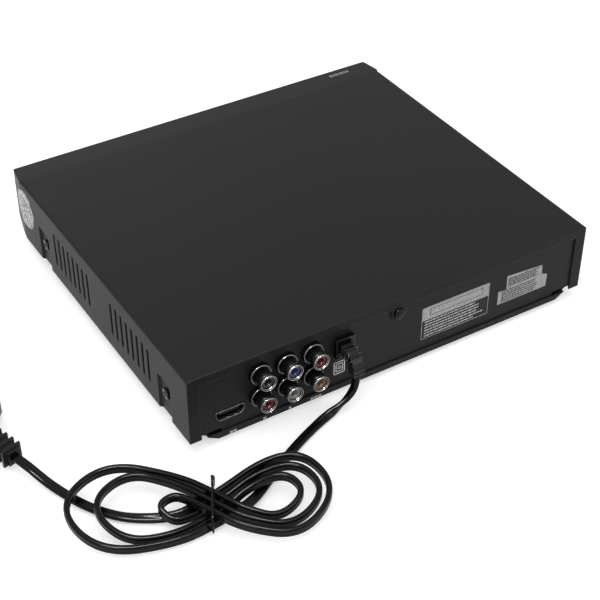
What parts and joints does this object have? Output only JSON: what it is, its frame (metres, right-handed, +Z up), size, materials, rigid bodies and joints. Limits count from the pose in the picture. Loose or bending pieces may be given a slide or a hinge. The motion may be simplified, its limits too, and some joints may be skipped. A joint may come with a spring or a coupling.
{
  "type": "mini dvd player",
  "caption": "Compact disc player with a front-loading tray, a folded steel cover with side vents, rear phono jacks and a digital video port, and a mains lead tied in a hank.",
  "frame": {"origin": "on the surface it stands on, under the middle of the box around the case, from its front face to the jacks' tips", "axes": "+Z up, -Y towards the front with the tray, +X towards the player's right side as its front faces the viewer"},
  "size_m": [0.3268, 0.2756, 0.0431],
  "materials": {
    "black_steel": "fine-textured black enamel",
    "zinc_steel": "zinc-plated sheet",
    "case_plastic": "moulded, glossy",
    "foot_rubber": "matte",
    "screw_steel": "black oxide",
    "black_plastic": "moulded, matte",
    "cord_pvc": "flexible PVC, satin",
    "nickel": "nickel-plated",
    "jack_green": null,
    "jack_blue": null,
    "jack_red": null,
    "jack_white": null,
    "jack_yellow": null,
    "grey_plastic": "moulded acetal",
    "stamped_steel": "stamped",
    "die_cast": "die-cast",
    "lens_glass": "clear",
    "board_green": "solder mask",
    "board_tan": "bare paper laminate",
    "tape_yellow": "taped winding on a ferrite core",
    "capacitor_sleeve": "shrink sleeve",
    "window_tint": "smoked acrylic",
    "ribbon_white": null,
    "mains_sleeve": null
  },
  "bodies": {
    "player": {"top_cover": "black_steel", "chassis_pan": "zinc_steel", "rear_panel": "zinc_steel", "front_bezel": "case_plastic", "feet": "foot_rubber", "drive_belt": "foot_rubber", "cover_screws": "screw_steel", "inner_screws": "screw_steel", "rca_housing": "black_plastic", "strain_relief": "black_plastic", "plug_body": "black_plastic", "loader_frame": "black_plastic", "main_chips": "black_plastic", "display_module": "black_plastic", "key_switches": "black_plastic", "power_cord": "cord_pvc", "cord_hank": "cord_pvc", "plug_lead": "cord_pvc", "cord_tie": "cord_pvc", "rca_shells": "nickel", "hdmi_socket": "nickel", "plug_pins": "nickel", "usb_socket": "nickel", "rca_insert_green": "jack_green", "rca_insert_blue": "jack_blue", "rca_insert_red": "jack_red", "rca_insert_white": "jack_white", "rca_insert_yellow": "jack_yellow", "clamper_bridge": "stamped_steel", "loading_motor": "stamped_steel", "main_board": "board_green", "power_board": "board_tan", "front_board": "board_tan", "transformer": "tape_yellow", "capacitors": "capacitor_sleeve", "display_window": "window_tint", "front_ribbon": "ribbon_white", "mains_wires": "mains_sleeve"},
    "tray": {"disc_tray": "black_plastic", "tray_front": "case_plastic"},
    "tray_wheel": {"tray_gear": "black_plastic"},
    "belt_wheel": {"belt_gear": "black_plastic"},
    "motor_wheel": {"motor_pulley": "grey_plastic"},
    "slider": {"cam_slider": "black_plastic"},
    "lift": {"lift_frame": "grey_plastic", "damper_grommets": "foot_rubber", "traverse_deck": "stamped_steel", "spindle_motor": "stamped_steel", "guide_rods": "zinc_steel", "sled_motor": "stamped_steel"},
    "spindle": {"turntable": "grey_plastic"},
    "sled": {"pickup_sled": "die_cast"},
    "lens": {"pickup_lens": "lens_glass"},
    "lead": {"lead_screw": "zinc_steel"},
    "clamp": {"clamper": "black_plastic"},
    "power_key": {"power_button": "case_plastic"},
    "open_key": {"open_button": "case_plastic"},
    "play_key": {"play_button": "case_plastic"},
    "stop_key": {"stop_button": "case_plastic"}
  },
  "joints": [
    {"name": "tray_slide", "type": "slide", "parent": "player", "child": "tray", "axis": [0, -1, 0], "range_m": [0, 0.13]},
    {"name": "tray_gear_turn", "type": "hinge", "parent": "player", "child": "tray_wheel", "pos_m": [-0.08, -0.0725, 0.015], "axis": [0, 0, 1], "range_deg": [0, 993.2]},
    {"name": "belt_gear_turn", "type": "hinge", "parent": "player", "child": "belt_wheel", "pos_m": [-0.06158, -0.0765, 0.013], "axis": [0, 0, 1], "range_deg": [-1986.4, 0]},
    {"name": "motor_pulley_turn", "type": "hinge", "parent": "player", "child": "motor_wheel", "pos_m": [-0.022, -0.0765, 0.018], "axis": [0, 0, 1], "range_deg": [-4832.4, 0]},
    {"name": "lift_tilt", "type": "hinge", "parent": "player", "child": "lift", "pos_m": [-0.036, 0.056, 0.0147], "axis": [1, 0, 0], "range_deg": [0, 2.8]},
    {"name": "slider_slide", "type": "slide", "parent": "player", "child": "slider", "axis": [1, 0, 0], "range_m": [0, 0.014]},
    {"name": "spindle_turn", "type": "hinge", "parent": "lift", "child": "spindle", "pos_m": [-0.036, -0.036, 0.02], "axis": [0, 0, 1], "continuous": true},
    {"name": "clamper_turn", "type": "hinge", "parent": "player", "child": "clamp", "pos_m": [-0.036, -0.036, 0.033], "axis": [0, 0, 1], "continuous": true},
    {"name": "sled_slide", "type": "slide", "parent": "lift", "child": "sled", "axis": [0, 1, 0], "range_m": [0, 0.034]},
    {"name": "lead_turn", "type": "hinge", "parent": "lift", "child": "lead", "pos_m": [-0.0055, 0.015, 0.0165], "axis": [0, 1, 0], "range_deg": [0, 4080.5]},
    {"name": "lens_focus", "type": "slide", "parent": "sled", "child": "lens", "axis": [0, 0, 1], "range_m": [-0.0005, 0.0005], "stiffness_N_per_m": 30},
    {"name": "power_press", "type": "slide", "parent": "player", "child": "power_key", "axis": [0, 1, 0], "range_m": [0, 0.0005], "stiffness_N_per_m": 1500},
    {"name": "open_press", "type": "slide", "parent": "player", "child": "open_key", "axis": [0, 1, 0], "range_m": [0, 0.0005], "stiffness_N_per_m": 1500},
    {"name": "play_press", "type": "slide", "parent": "player", "child": "play_key", "axis": [0, 1, 0], "range_m": [0, 0.0005], "stiffness_N_per_m": 1500},
    {"name": "stop_press", "type": "slide", "parent": "player", "child": "stop_key", "axis": [0, 1, 0], "range_m": [0, 0.0005], "stiffness_N_per_m": 1500}
  ],
  "couplings": [
    {"joint": "tray_gear_turn", "follows": "tray_slide", "rad_per_m": 133.33},
    {"joint": "belt_gear_turn", "follows": "tray_slide", "rad_per_m": -266.67},
    {"joint": "motor_pulley_turn", "follows": "tray_slide", "rad_per_m": -648.76},
    {"joint": "slider_slide", "follows": "lift_tilt", "m_per_rad": 0.28648},
    {"joint": "clamper_turn", "follows": "spindle_turn", "ratio": 1},
    {"joint": "lead_turn", "follows": "sled_slide", "rad_per_m": 2094.4}
  ]
}
